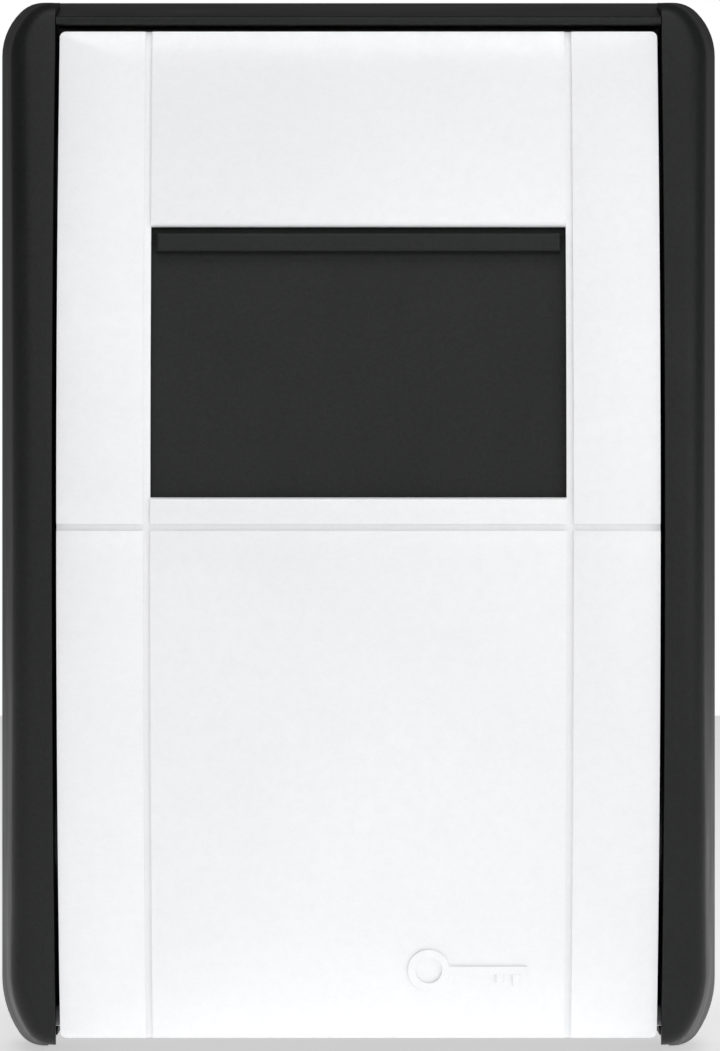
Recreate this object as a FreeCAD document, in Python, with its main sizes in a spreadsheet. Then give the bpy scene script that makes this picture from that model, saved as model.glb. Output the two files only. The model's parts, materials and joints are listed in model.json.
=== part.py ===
import FreeCAD, Part

import math
import os
import re

import Sketcher
from FreeCAD import Placement, Rotation, Vector

# Wall-mounted key lock box with a four-ring code lock.
# Frame: +X right, +Z up, the front faces -Y; the origin is the centre of the back face, on the wall.
# The front faces are arcs about one horizontal axis behind the wall, so every layer of the door
# (panel, slide cover, dial plate) is a shell about that axis. Millimetres and degrees.

DIMENSIONS = {
    # Whole object
    "body_width": 82.0,
    "body_depth": 46.0,
    "body_height": 120.0,
    "arc_offset": 144.0,  # front arc's axis behind the wall face
    # Side covers: black bars left and right
    "bar_width": 7.7,
    "bar_draft": 5.0,
    "bar_straight": 6.0,  # depth of the rear part without draft
    "bar_skin": 2.2,
    "bar_rib": 1.5,
    "nose_depth": 5.0,
    "nose_overlap": 0.7,
    "nose_round": 2.4,
    "bar_root": 8.0,  # how far the outline runs past the inner face before it is cut off
    "end_relief": 1.8,  # what the bars' ends give up beside the top cover and under the door
    "low_end_relief": 2.4,
    "end_relief_depth": 36.0,
    "bar_screw_depth": 14.0,
    "bar_screw_height": 38.0,
    "post_radius": 3.0,
    "corner_width": 4.8,
    "top_corner_height": 6.2,
    "top_corner_radius": 3.8,
    "bottom_corner_height": 8.0,
    "bottom_corner_radius": 3.4,
    # Housing tray
    "back_wall": 3.0,
    "side_wall": 2.2,
    "ceiling_wall": 1.8,
    "floor_wall": 2.0,
    "top_cover_rise": 3.5,
    "foot_clearance": 3.4,
    "wall_hole_radius": 2.6,
    "wall_hole_spacing_x": 46.0,
    "wall_hole_spacing_z": 76.0,
    "countersink_radius": 4.8,
    "countersink_depth": 2.0,
    "back_recess": 0.8,
    "recess_width": 10.0,
    "past": 1.0,  # how far a cutting piece runs past what it cuts
    # Top cover
    "top_cover_sink": 0.1,
    "top_cover_bulge_radius": 250.0,
    "lip_drop": 4.2,
    "lip_face": 0.9,
    "lip_thickness": 1.6,
    "lip_setback": 0.4,
    "top_cover_wing": 1.6,  # how far its rear part spreads over the housing's side walls
    "part_gap": 0.1,
    # Door front panel
    "door_gap": 0.5,
    "door_setback": 0.6,
    "door_skin": 1.6,
    "door_wall": 2.0,
    "door_top_drop": 5.9,
    "door_bottom_rise": 3.5,
    "door_corner": 0.7,
    "tray_clearance": 2.8,
    "window_width": 45.24,
    "window_height": 29.5,
    "window_centre": 17.65,
    "window_round": 0.6,
    "groove_width": 0.75,
    "groove_depth": 0.45,
    "boss_radius": 2.3,
    "boss_inset": 3.2,
    "cover_boss_inset": 2.0,
    "rail_width": 1.5,
    # Hinge
    "pin_radius": 1.25,
    "pin_clearance": 0.05,
    "pin_reach": 6.0,
    "knuckle_radius": 2.5,
    "hinge_inset": 2.78,
    "floor_clearance": 3.9,
    # Slide cover
    "slider_gap": 0.2,
    "slider_thickness": 1.2,
    "slider_overlap": 1.2,
    "slider_side_overlap": 2.3,
    "slider_side_gap": 0.2,
    "slider_travel": 26.4,
    "ridge_top_gap": 0.65,
    "ridge_height": 2.05,
    "ridge_side_gap": 0.55,
    "ridge_setback": 0.5,
    "ridge_round": 0.35,
    # Dial plate
    "plate_gap": 1.4,
    "plate_thickness": 1.0,
    "plate_above": 3.6,
    "runner_width": 1.9,
    "runner_gap": 0.2,
    "slot_gap": 0.2,
    "slot_half_height": 6.4,
    # Number rings and code hubs
    "dial_height": 19.0,
    "ring_radius": 7.8,
    "ring_width": 5.0,
    "ring_pitch": 9.0,
    "first_ring": -18.4,
    "ring_gap": 0.3,
    "ring_chamfer": 0.3,
    "ring_groove_radius": 0.7,
    "ring_groove_depth": 0.3,
    "ring_groove_angle": 18.0,
    "ring_bore_clearance": 0.08,
    "ring_counterbore_radius": 5.2,
    "ring_notch_radius": 5.1,
    "ring_notch_length": 1.2,
    "ring_notch_width": 1.3,
    "hub_radius": 4.1,
    "hub_left": 3.9,
    "hub_flange_radius": 5.4,
    "hub_flange_left": 4.0,
    "hub_flange_thickness": 1.0,
    "hub_notch_width": 2.2,
    "hub_tooth_radius": 4.9,
    "hub_tooth_width": 1.1,
    "hub_tooth_length": 1.1,
    "shaft_radius": 1.6,
    "shaft_clearance": 0.06,
    "code_shift": 1.3,
    "clip_radius": 3.1,
    "clip_thickness": 0.6,
    "clip_opening": 1.8,
    # Mechanism carrier, lever and springs
    "cheek_left": 24.8,  # distance of the left cheek's outer face left of centre
    "cheek_right": 15.8,  # distance of the right cheek's inner face right of centre
    "cheek_thickness": 1.6,
    "cheek_half_height": 3.5,
    "carrier_bar": 2.4,
    "carrier_ear": 2.0,
    "carrier_depth": 8.0,
    "carrier_margin": 2.0,
    "lever_left": 28.2,
    "lever_thickness": 1.9,
    "lever_height": 5.0,
    "lever_wall": 1.0,
    "lever_proud": 0.8,
    "lever_gap": 0.5,
    "detent_thickness": 0.3,
    "detent_width": 3.0,
    # Latch
    "latch_thickness": 1.2,
    "latch_gap": 0.3,
    "latch_travel": 2.5,
    "finger_thickness": 1.0,
    "finger_left": 5.25,
    "finger_height": 1.6,
    "finger_gap": 0.3,
    "hook_centre": 15.0,
    "hook_width": 6.0,
    "hook_height": 3.0,
    "hook_drop": 1.7,
    "arm_width": 5.0,
    "arm_gap": 0.5,
    "latch_inset": 1.0,
    "tab_width": 4.0,
    "keeper_gap": 0.3,
    "keeper_thickness": 1.2,
    "keeper_lug_width": 5.0,
    "keeper_side_gap": 0.3,
    "keeper_depth": 4.2,
    "keeper_flange": 9.0,
    "keeper_half_width": 25.0,
    "keeper_screw_offset": 5.8,
    "knob_left": 16.2,
    "knob_width": 5.8,
    "knob_height": 11.6,
    "knob_proud": 1.1,
    "grip_width": 0.7,
    "grip_depth": 0.5,
    "grip_margin": 1.0,
    "stem_left": 18.0,
    "stem_width": 3.0,
    "stem_height": 1.9,
    "spring_start": -2.0,
    "spring_length": 11.0,
    "spring_turns": 7.0,
    "spring_radius": 1.4,
    "spring_wire": 0.25,
    # Inner cover, key space and key hook
    "cover_gap": 0.4,
    "cover_thickness": 1.6,
    "cover_rim": 1.5,
    "cover_fit": 0.25,
    "cover_bottom": 28.0,
    "cover_top_drop": 4.6,
    "hook_plate_top": 48.0,
    "hook_plate_height": 10.0,
    "hook_plate_width": 12.0,
    "hook_rise": 4.0,
    "hook_wire": 1.2,
    "hook_reach": 9.0,
    "rivet_spacing": 8.0,
    "rivet_inset": 2.2,
    "rivet_height": 0.5,
    # Small screws
    "screw_radius": 1.1,
    "screw_head_radius": 2.1,
    "screw_head_height": 1.1,
    "screw_length": 5.0,
    "screw_slot": 0.6,
}

doc = FreeCAD.newDocument("KeyLockBox")
sheet = doc.addObject("Spreadsheet::Sheet", "Dims")
for row, (alias, number) in enumerate(DIMENSIONS.items(), start=1):
    sheet.set(f"A{row}", alias)
    sheet.set(f"B{row}", str(number))
    sheet.setAlias(f"B{row}", alias)
doc.recompute()

# Places worked out from the driving dimensions, as expressions of the sheet's words
BAR_INNER = "(body_width/2 - bar_width)"
HOUSING_SIDE = f"({BAR_INNER} + nose_overlap)"
HOUSING_OUT = f"({HOUSING_SIDE} + side_wall)"
DOOR_SIDE = f"({BAR_INNER} - door_gap)"
TRAY_SIDE = f"({DOOR_SIDE} - door_wall)"
BOSS_X = f"({TRAY_SIDE} - boss_inset)"

TOP = "(body_height/2)"
HOUSING_TOP = f"({TOP} - top_cover_rise)"
CEILING = f"({HOUSING_TOP} - ceiling_wall)"
HOUSING_BOTTOM = f"(foot_clearance - {TOP})"
FLOOR = f"({HOUSING_BOTTOM} + floor_wall)"
DOOR_TOP = f"({TOP} - door_top_drop)"
DOOR_BOTTOM = f"(door_bottom_rise - {TOP})"
WINDOW_SIDE = "(window_width/2)"
WINDOW_BOTTOM = "(window_centre - window_height/2)"
WINDOW_TOP = "(window_centre + window_height/2)"

BAR_RADIUS = "(arc_offset + body_depth)"
HOUSING_RADIUS = f"({BAR_RADIUS} - nose_depth - part_gap)"
DOOR_RADIUS = f"({BAR_RADIUS} - door_setback)"
SKIN_RADIUS = f"({DOOR_RADIUS} - door_skin)"
SLIDER_RADIUS = f"({SKIN_RADIUS} - slider_gap)"
SLIDER_BACK = f"({SLIDER_RADIUS} - slider_thickness)"
PLATE_RADIUS = f"({SLIDER_BACK} - plate_gap)"
PLATE_BACK = f"({PLATE_RADIUS} - plate_thickness)"
KNOB_RADIUS = f"({PLATE_RADIUS} + knob_proud)"

DIAL_ARM = f"({SLIDER_BACK} - ring_gap - ring_radius)"
DIAL_Y = f"(arc_offset - sqrt({DIAL_ARM}^2 - dial_height^2))"
LATCH_FRONT = f"({DIAL_Y} + ring_radius + latch_gap)"
LATCH_BACK = f"({LATCH_FRONT} + latch_thickness)"
COVER_FRONT = f"({LATCH_BACK} + cover_gap)"
COVER_BACK = f"({COVER_FRONT} + cover_thickness)"
TRAY_BACK = f"({LATCH_FRONT} - tray_clearance)"
KEEPER_BACK = f"({LATCH_FRONT} - keeper_gap)"
KEEPER_FRONT = f"({KEEPER_BACK} - keeper_thickness)"
CEILING_FRONT = f"({KEEPER_FRONT} - 5*part_gap)"

HINGE_Z = f"({DOOR_BOTTOM} + knuckle_radius)"
HINGE_Y = f"(arc_offset - sqrt({DOOR_RADIUS}^2 - {DOOR_BOTTOM}^2) + hinge_inset)"
FLOOR_FRONT = f"({HINGE_Y} + floor_clearance)"

SLIDER_SIDE = f"({WINDOW_SIDE} + slider_side_overlap)"
SLIDER_BOTTOM = f"({WINDOW_BOTTOM} - slider_overlap)"
SLIDER_TOP = f"({WINDOW_TOP} + slider_overlap)"
RAIL_SIDE = f"({SLIDER_SIDE} + slider_side_gap)"
PLATE_BOTTOM = f"({SLIDER_BOTTOM} - slider_travel - 2*slider_overlap)"
PLATE_TOP = f"({WINDOW_TOP} + plate_above)"
COVER_TOP = f"({DOOR_TOP} - cover_top_drop)"
HOOK_TOP = f"({CEILING} - hook_drop)"
BAR_LOW = "(dial_height - ring_radius - ring_gap - carrier_bar)"
BAR_HIGH = "(dial_height + ring_radius + ring_gap)"
CARRIER_FRONT = f"({LATCH_FRONT} - carrier_depth)"
CARRIER_BACK = f"({CARRIER_FRONT} + carrier_ear)"
SPRING_Y = f"({LATCH_FRONT} - 2*spring_radius)"
SPRING_Z = f"({BAR_HIGH} + carrier_bar + spring_radius + 2*spring_wire)"
BAR_SLOPE = "(tan(bar_draft)*(body_depth - bar_straight))"
BOSS_HEIGHTS = (f"({BAR_LOW} + carrier_bar/2)", f"({BAR_HIGH} + carrier_bar/2)")
COVER_BOSSES = ("boss_radius + cover_boss_inset - cover_bottom",
                f"{COVER_TOP} - boss_radius - cover_boss_inset")
BAR_SCREWS = (("-bar_screw_depth", "bar_screw_height"), ("-bar_screw_depth", "-bar_screw_height"))
KEEPER_SCREWS = ("-(hook_centre + keeper_screw_offset)", "hook_centre - keeper_screw_offset")
WALL_HOLES = [(f"{side}wall_hole_spacing_x/2", f"{level}wall_hole_spacing_z/2")
              for side in ("-", "") for level in ("-", "")]
RINGS = [f"(first_ring + {index}*ring_pitch)" for index in range(4)]


def bound(expression):
    """Write the sheet's words in an expression as references to its cells."""
    def cell(word):
        return f"Dims.{word[0]}" if word[0] in DIMENSIONS else word[0]
    return re.sub(r"[a-z_]+", cell, str(expression))


def value(expression):
    """The number that an expression of the sheet's words gives."""
    return float(sheet.evalExpression(bound(expression)))


# Part primitives and booleans

def box(name, x, y, z):
    """A box between two limits along each axis."""
    made = doc.addObject("Part::Box", name)
    for axis, size, (low, high) in (("x", "Length", x), ("y", "Width", y), ("z", "Height", z)):
        made.setExpression(size, bound(f"({high}) - ({low})"))
        made.setExpression(f"Placement.Base.{axis}", bound(low))
    return made


TURNS = {
    "x": Rotation(Vector(0, 1, 0), 90),
    "y": Rotation(Vector(1, 0, 0), -90),
    "z": Rotation(),
}


def rod(name, axis, span, centre, radius, end_radius=None):
    """A cylinder, or a cone where it ends in another radius, along an axis between two limits.

    centre gives the places on the two other axes, in x, y, z order.
    """
    made = doc.addObject("Part::Cone" if end_radius else "Part::Cylinder", name)
    made.Placement = Placement(Vector(), TURNS[axis])
    low, high = span
    made.setExpression("Height", bound(f"({high}) - ({low})"))
    if end_radius:
        made.setExpression("Radius1", bound(radius))
        made.setExpression("Radius2", bound(end_radius))
    else:
        made.setExpression("Radius", bound(radius))
    others = [other for other in "xyz" if other != axis]
    for place_axis, place in zip([axis] + others, [low] + list(centre)):
        made.setExpression(f"Placement.Base.{place_axis}", bound(place))
    return made


def arc_solid(name, radius):
    """A solid cylinder about the front arc's axis."""
    return rod(name, "x", symmetric("body_width"), ("arc_offset", "0"), radius)


def join(name, parts):
    made = doc.addObject("Part::MultiFuse", name)
    made.Shapes = list(parts)
    return made


def common(name, parts):
    made = doc.addObject("Part::MultiCommon", name)
    made.Shapes = list(parts)
    return made


def cut(name, base, *tools):
    made = doc.addObject("Part::Cut", name)
    made.Base = base
    made.Tool = tools[0] if len(tools) == 1 else join(f"{name}_tools", tools)
    return made


def mirrored(name, source):
    """The same piece on the other side of the middle plane."""
    made = doc.addObject("Part::Mirroring", name)
    made.Source = source
    made.Normal = Vector(1, 0, 0)
    return made


def rounded(name, base, radius, chosen):
    """Fillets of one radius on the edges for which chosen(edge) is true."""
    doc.recompute()
    made = doc.addObject("Part::Fillet", name)
    made.Base = base
    size = value(radius)
    made.Edges = [(index, size, size) for index, edge in enumerate(base.Shape.Edges, start=1) if chosen(edge)]
    return made


def shell(name, outer, inner, x, z, y=("-2*body_depth", "0")):
    """A curved plate between two radii about the front arc's axis, inside a box."""
    block = box(f"{name}_block", x, y, z)
    curve = common(f"{name}_curve", [block, arc_solid(f"{name}_outer", outer)])
    return cut(name, curve, arc_solid(f"{name}_inner", inner))


def symmetric(half):
    return (f"-({half})", half)


def both(places):
    """Each place on the right and on the left, with a word for the name and a sign."""
    return [(f"{side}_{index}", sign, place)
            for side, sign in (("right", ""), ("left", "-")) for index, place in enumerate(places)]


def both_spans(low, high):
    """A span along X and its mirror image, each with a word for the name."""
    return (("right", (low, high)), ("left", (f"-({high})", f"-({low})")))


# Sketches and bodies

def origin_feature(body, role):
    return next(feature for feature in body.Origin.OriginFeatures if feature.Role == role)


def sketch_on(body, name, plane, offset="0"):
    sketch = body.newObject("Sketcher::SketchObject", name)
    sketch.AttachmentSupport = [(origin_feature(body, plane), "")]
    sketch.MapMode = "FlatFace"
    sketch.setExpression("AttachmentOffset.Base.z", bound(offset))
    return sketch


def hold(sketch, kind, geometry, point, expression):
    """Bind a point's distance from the sketch's origin to an expression."""
    index = sketch.addConstraint(Sketcher.Constraint(kind, -1, 1, geometry, point, value(expression)))
    label = f"{kind.lower()}_{index}"
    sketch.renameConstraint(index, label)
    sketch.setExpression(f"Constraints.{label}", bound(expression))


def arc_between(start, end, radius):
    """The arc of a radius from start to end, turning left, as centre and angles."""
    chord = end - start
    rise = math.sqrt(radius ** 2 - chord.Length ** 2 / 4)
    left = Vector(-chord.y, chord.x, 0).normalize()
    centre = (start + end) / 2 + left * rise
    first = math.atan2(start.y - centre.y, start.x - centre.x)
    last = math.atan2(end.y - centre.y, end.x - centre.x)
    if last < first:
        last += 2 * math.pi
    return Part.ArcOfCircle(Part.Circle(centre, Vector(0, 0, 1), radius), first, last)


def outline(sketch, corners, arcs=None):
    """A closed outline through corners, each a pair of expressions, in left-turning order.

    arcs gives, for the side that starts at a corner's number, the radius of its outward arc.
    """
    arcs = arcs or {}
    points = [Vector(value(u), value(v), 0) for u, v in corners]
    count = len(points)
    for index, start in enumerate(points):
        end = points[(index + 1) % count]
        if index in arcs:
            sketch.addGeometry(arc_between(start, end, value(arcs[index])), False)
        else:
            sketch.addGeometry(Part.LineSegment(start, end), False)
    for index in range(count):
        sketch.addConstraint(Sketcher.Constraint("Coincident", index, 2, (index + 1) % count, 1))
    for index, (u, v) in enumerate(corners):
        hold(sketch, "DistanceX", index, 1, u)
        hold(sketch, "DistanceY", index, 1, v)
    for index, radius in arcs.items():
        number = sketch.addConstraint(Sketcher.Constraint("Radius", index, value(radius)))
        sketch.renameConstraint(number, f"radius_{number}")
        sketch.setExpression(f"Constraints.radius_{number}", bound(radius))


def rectangle(sketch, u, v):
    outline(sketch, [(u[0], v[0]), (u[1], v[0]), (u[1], v[1]), (u[0], v[1])])


def ring_of(sketch, centre, radius):
    """A circle at a pair of expressions."""
    middle = Vector(value(centre[0]), value(centre[1]), 0)
    index = sketch.addGeometry(Part.Circle(middle, Vector(0, 0, 1), value(radius)), False)
    hold(sketch, "DistanceX", index, 3, centre[0])
    hold(sketch, "DistanceY", index, 3, centre[1])
    number = sketch.addConstraint(Sketcher.Constraint("Radius", index, value(radius)))
    sketch.renameConstraint(number, f"radius_{number}")
    sketch.setExpression(f"Constraints.radius_{number}", bound(radius))


def pad(body, sketch, length, taper=None):
    made = body.newObject("PartDesign::Pad", f"{sketch.Name}_pad")
    made.Profile = sketch
    made.setExpression("Length", bound(length))
    if taper:
        made.setExpression("TaperAngle", bound(taper))
    sketch.Visibility = False
    return made


def pocket(body, sketch, length):
    """Cut from the sketch against its plane's normal."""
    made = body.newObject("PartDesign::Pocket", f"{sketch.Name}_pocket")
    made.Profile = sketch
    made.setExpression("Length", bound(length))
    return made


def around(body, feature, count):
    """Repeat a feature around the body's X axis."""
    made = body.newObject("PartDesign::PolarPattern", f"{feature.Name}_pattern")
    made.Originals = [feature]
    made.Axis = (origin_feature(body, "X_Axis"), [""])
    made.Angle = 360
    made.Occurrences = count
    body.Tip = made
    return made


def turned(name, profile, place):
    """A body turned about the X direction through a place, from corners (along the axis, radius)."""
    body = doc.addObject("PartDesign::Body", name)
    for axis, where in zip("xyz", place):
        body.setExpression(f"Placement.Base.{axis}", bound(where))
    sketch = sketch_on(body, f"{name}_profile", "XY_Plane")
    outline(sketch, profile)
    made = body.newObject("PartDesign::Revolution", f"{name}_turn")
    made.Profile = sketch
    made.ReferenceAxis = (sketch, ["H_Axis"])
    made.Angle = 360
    return body


def plate(name, plane, corners, low, high, arcs=None):
    """A body padded from one outline, between two distances along the plane's normal."""
    body = doc.addObject("PartDesign::Body", name)
    sketch = sketch_on(body, f"{name}_outline", plane, low)
    outline(sketch, corners, arcs)
    pad(body, sketch, f"({high}) - ({low})")
    return body


# Screws

def screw_x(name, sign, head_face, place):
    """A small screw along X whose head sits inside a wall at head_face and which points outward."""
    y, z = place
    outward = (head_face, f"{head_face} + screw_length")
    inward = (f"{head_face} - screw_head_height", head_face)
    if sign:
        outward = (f"-({outward[1]})", f"-({outward[0]})")
        inward = (f"-({inward[1]})", f"-({inward[0]})")
    shank = rod(f"{name}_shank", "x", outward, (y, z), "screw_radius")
    head = rod(f"{name}_head", "x", inward, (y, z), "screw_head_radius")
    return join(name, [shank, head])


def screw_y(name, head_face, place):
    """A small slotted screw along Y that points forward, its head behind head_face."""
    shank = rod(f"{name}_shank", "y", (f"{head_face} - screw_length", head_face), place, "screw_radius")
    head = rod(f"{name}_head", "y", (head_face, f"{head_face} + screw_head_height"), place,
               "screw_head_radius")
    x, z = place
    slot = box(f"{name}_slot",
               (f"{x} - screw_head_radius - past", f"{x} + screw_head_radius + past"),
               (f"{head_face} + screw_head_height/2", f"{head_face} + screw_head_height + past"),
               (f"{z} - screw_slot/2", f"{z} + screw_slot/2"))
    return cut(name, join(f"{name}_blank", [shank, head]), slot)


# Housing: fixed to the wall

def drafted_ends(name, inset, x):
    """A block whose upper and lower faces follow the bars' ends, drawn in by inset."""
    top = f"({TOP} - {inset})"
    corners = [("past", f"-{top}"), ("past", top), ("-bar_straight", top),
               ("-body_depth", f"{top} - {BAR_SLOPE}"), ("-body_depth", f"{BAR_SLOPE} - {top}"),
               ("-bar_straight", f"-{top}")]
    return plate(name, "YZ_Plane", corners, x[0], x[1])


def drafted_sides(name, inset):
    """A block whose left and right faces follow the bars' outer faces, drawn in by inset."""
    side = f"(body_width/2 - {inset})"
    corners = [(side, "past"), (f"-{side}", "past"), (f"-{side}", "-bar_straight"),
               (f"{BAR_SLOPE} - {side}", "-body_depth"), (f"{side} - {BAR_SLOPE}", "-body_depth"),
               (side, "-bar_straight")]
    return plate(name, "XY_Plane", corners, f"-{TOP}", TOP)


def make_housing():
    """Die-cast tray: back wall, two side walls with hinge cheeks, ceiling and floor."""
    block = box("housing_block", symmetric(HOUSING_OUT), ("-2*body_depth", "0"),
                (HOUSING_BOTTOM, HOUSING_TOP))
    ends = drafted_ends("housing_ends", "(bar_skin + part_gap)", symmetric("body_width"))
    sides = drafted_sides("housing_sides", "(bar_skin + part_gap)")
    blank = common("housing_blank", [block, ends, sides, arc_solid("housing_front", HOUSING_RADIUS)])
    room = box("housing_room", symmetric(HOUSING_SIDE), ("-3*body_depth", "-back_wall"), (FLOOR, CEILING))
    over_door = box("housing_over_door", symmetric(HOUSING_SIDE), ("-2*body_depth", CEILING_FRONT),
                    (f"{CEILING} - past", f"{HOUSING_TOP} + past"))
    under_door = box("housing_under_door", symmetric(HOUSING_SIDE), ("-2*body_depth", FLOOR_FRONT),
                     (f"{HOUSING_BOTTOM} - past", f"{FLOOR} + past"))
    tray = cut("housing_tray", blank, room, over_door, under_door)
    cheeks = [rod(f"housing_cheek_{name}", "x", span, (HINGE_Y, HINGE_Z), "knuckle_radius")
              for name, span in both_spans(HOUSING_SIDE, HOUSING_OUT)]
    tools = [rod("housing_pin_holes", "x", symmetric("body_width"), (HINGE_Y, HINGE_Z), "pin_radius")]
    for index, place in enumerate(WALL_HOLES):
        tools.append(rod(f"wall_hole_{index}", "y", ("-back_wall - past", "past"), place, "wall_hole_radius"))
        tools.append(rod(f"countersink_{index}", "y", ("-back_wall", "countersink_depth - back_wall"), place,
                         "countersink_radius", "wall_hole_radius"))
    for index, place in enumerate(BAR_SCREWS):
        tools.append(rod(f"bar_screw_hole_{index}", "x", symmetric("body_width"), place, "screw_radius"))
    for index, x in enumerate(KEEPER_SCREWS):
        tools.append(rod(f"keeper_hole_{index}", "z", (f"{CEILING} - past", f"{HOUSING_TOP} + past"),
                         (x, f"{KEEPER_BACK} + keeper_flange/2"), "screw_radius"))
    for index, side in enumerate(("-1", "1")):
        middle = f"{side}*wall_hole_spacing_x/4"
        tools.append(box(f"back_recess_{index}", (f"{middle} - recess_width/2", f"{middle} + recess_width/2"),
                         ("-back_recess", "past"), symmetric("body_height/4")))
    return cut("housing", join("housing_walls", [tray] + cheeks), *tools)


def corner_arcs(width, height, small):
    """Radius of the long arc of a two-arc corner, and where the arcs meet, from the corner's place."""
    large = f"(({width}^2 + ({height} - {small})^2 - {small}^2)/(2*({width} - {small})))"
    along = f"({small}/({large} - {small}))"
    inward = f"({width} - {along}*({large} - {width}))"
    down = f"({small} - {along}*({height} - {small}))"
    return large, inward, down


def bar_outline(sketch, inset="0"):
    """Front view of the right bar, drawn in by inset: outer corners of two arcs each."""
    top_large, top_in, top_down = corner_arcs("corner_width", "top_corner_height", "top_corner_radius")
    low_large, low_in, low_up = corner_arcs("corner_width", "bottom_corner_height", "bottom_corner_radius")
    side = f"(body_width/2 - {inset})"
    top = f"({TOP} - {inset})"
    corners = [
        (f"{BAR_INNER} - bar_root", f"-{top}"),
        (f"{side} - corner_width", f"-{top}"),
        (f"{side} - {low_in}", f"{low_up} - {top}"),
        (side, f"bottom_corner_height - {top}"),
        (side, f"{top} - top_corner_height"),
        (f"{side} - {top_in}", f"{top} - {top_down}"),
        (f"{side} - corner_width", top),
        (f"{BAR_INNER} - bar_root", top),
    ]
    outline(sketch, corners, {1: "bottom_corner_radius", 2: low_large, 4: top_large, 5: "top_corner_radius"})


def make_side_covers():
    """Moulded bars over the housing's side walls: solid nose, thin skin and ribs behind it."""
    body = doc.addObject("PartDesign::Body", "bar_body")
    rear = sketch_on(body, "bar_rear", "XZ_Plane")
    bar_outline(rear)
    pad(body, rear, "bar_straight")
    start = sketch_on(body, "bar_start", "XZ_Plane", "bar_straight")
    bar_outline(start)
    front = sketch_on(body, "bar_front", "XZ_Plane", "body_depth")
    bar_outline(front, BAR_SLOPE)
    drafted = body.newObject("PartDesign::AdditiveLoft", "bar_drafted")
    drafted.Profile = start
    drafted.Sections = [front]
    drafted.Ruled = True
    keep = box("bar_keep", (BAR_INNER, "body_width"), ("-2*body_depth", "0"), symmetric("body_height"))
    blank = common("bar_blank", [body, keep, arc_solid("bar_curve", BAR_RADIUS)])
    doc.recompute()
    reach = value(BAR_RADIUS)
    inner = value(BAR_INNER)

    def on_front(edge):
        """True for the edges of the curved front face, without the inner one."""
        points = [edge.valueAt(edge.FirstParameter + share * (edge.LastParameter - edge.FirstParameter))
                  for share in (0.0, 0.5, 1.0)]
        far = all(abs(math.hypot(p.y - value("arc_offset"), p.z) - reach) < 0.01 for p in points)
        return far and max(p.x for p in points) > inner + 0.01

    nose = rounded("bar_nose", blank, "nose_round", on_front)

    core_sides = drafted_sides("bar_core_sides", "bar_skin")
    core_ends = drafted_ends("bar_core_ends", "bar_skin", (f"{BAR_INNER} - past", "body_width"))
    core_front = arc_solid("bar_room_front", f"{BAR_RADIUS} - nose_depth")
    room = common("bar_room", [core_sides, core_ends, core_front])
    ribs = [box(f"bar_rib_{index}", (f"{HOUSING_OUT} + part_gap", "body_width"), ("-2*body_depth", "0"),
                (f"{level}*body_height/8 - bar_rib/2", f"{level}*body_height/8 + bar_rib/2"))
            for index, level in enumerate((-2, 0, 2))]
    posts = [rod(f"bar_post_{index}", "x", (f"{HOUSING_OUT} + part_gap", "body_width"), place, "post_radius")
             for index, place in enumerate(BAR_SCREWS)]
    holes = [rod(f"bar_post_hole_{index}", "x",
                 (BAR_INNER, f"{HOUSING_SIDE} + screw_length"), place, "screw_radius")
             for index, place in enumerate(BAR_SCREWS)]
    hinge_relief = rod("bar_hinge_relief", "x", (f"{BAR_INNER} - past", f"{HOUSING_OUT} + part_gap"),
                       (HINGE_Y, HINGE_Z), "knuckle_radius + 2*part_gap")
    top_relief = box("bar_top_relief", (f"{BAR_INNER} - past", f"{BAR_INNER} + end_relief"),
                     (f"{CEILING_FRONT} - 2*part_gap", "past"), (f"{HOUSING_TOP} - past", f"{TOP} + past"))
    low_relief = box("bar_low_relief", (f"{BAR_INNER} - past", f"{BAR_INNER} + low_end_relief"),
                     ("-end_relief_depth", "past"), (f"-{TOP} - past", f"{HOUSING_BOTTOM} + part_gap"))
    room = cut("bar_hollow", room, *(ribs + posts))
    right = cut("side_cover_right", nose, room, hinge_relief, top_relief, low_relief, *holes)
    left = mirrored("side_cover_left", right)
    return [right, left]


def make_top_cover():
    """Moulded strip over the ceiling, between the bars, with a lip over the door's top edge."""
    top = f"({TOP} - top_cover_sink)"
    front = f"(arc_offset - sqrt({BAR_RADIUS}^2 - ({TOP} - lip_drop)^2) - lip_setback)"
    under = f"({HOUSING_TOP} + part_gap)"
    lip_low = f"({top} - lip_drop - lip_face)"
    lip_under = f"({lip_low} + lip_setback)"
    step = f"({CEILING_FRONT} - part_gap)"
    lip_back = f"({front} + lip_thickness)"
    corners = [("0", under), ("0", top), ("-bar_straight", top), (front, f"{top} - lip_drop"),
               (front, lip_low), (lip_back, lip_low), (lip_back, lip_under), (step, lip_under), (step, under)]
    wing = f"({BAR_INNER} + top_cover_wing)"
    body = plate("top_cover_body", "YZ_Plane", corners, f"-{wing}", wing, {2: "top_cover_bulge_radius"})
    sides = [box(f"top_cover_side_{name}", span, ("-2*body_depth", CEILING_FRONT),
                 symmetric("body_height"))
             for name, span in both_spans(f"{BAR_INNER} - part_gap", "body_width")]
    narrow = cut("top_cover_narrow", body, *sides)
    doc.recompute()
    face = value(front)

    def lip_edge(edge):
        """True for the two long edges of the lip's front face."""
        box_of = edge.BoundBox
        return box_of.XLength > 1 and abs(box_of.YMin - face) < 0.01 and abs(box_of.YMax - face) < 0.01

    return rounded("top_cover", narrow, "lip_setback", lip_edge)


def make_cover_screws():
    """Four screws through the side walls into the bars."""
    screws = []
    for side, sign, place in both(BAR_SCREWS):
        screws.append(screw_x(f"cover_screw_{side}", sign, HOUSING_SIDE, place))
    return join("cover_screws", screws)


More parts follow.
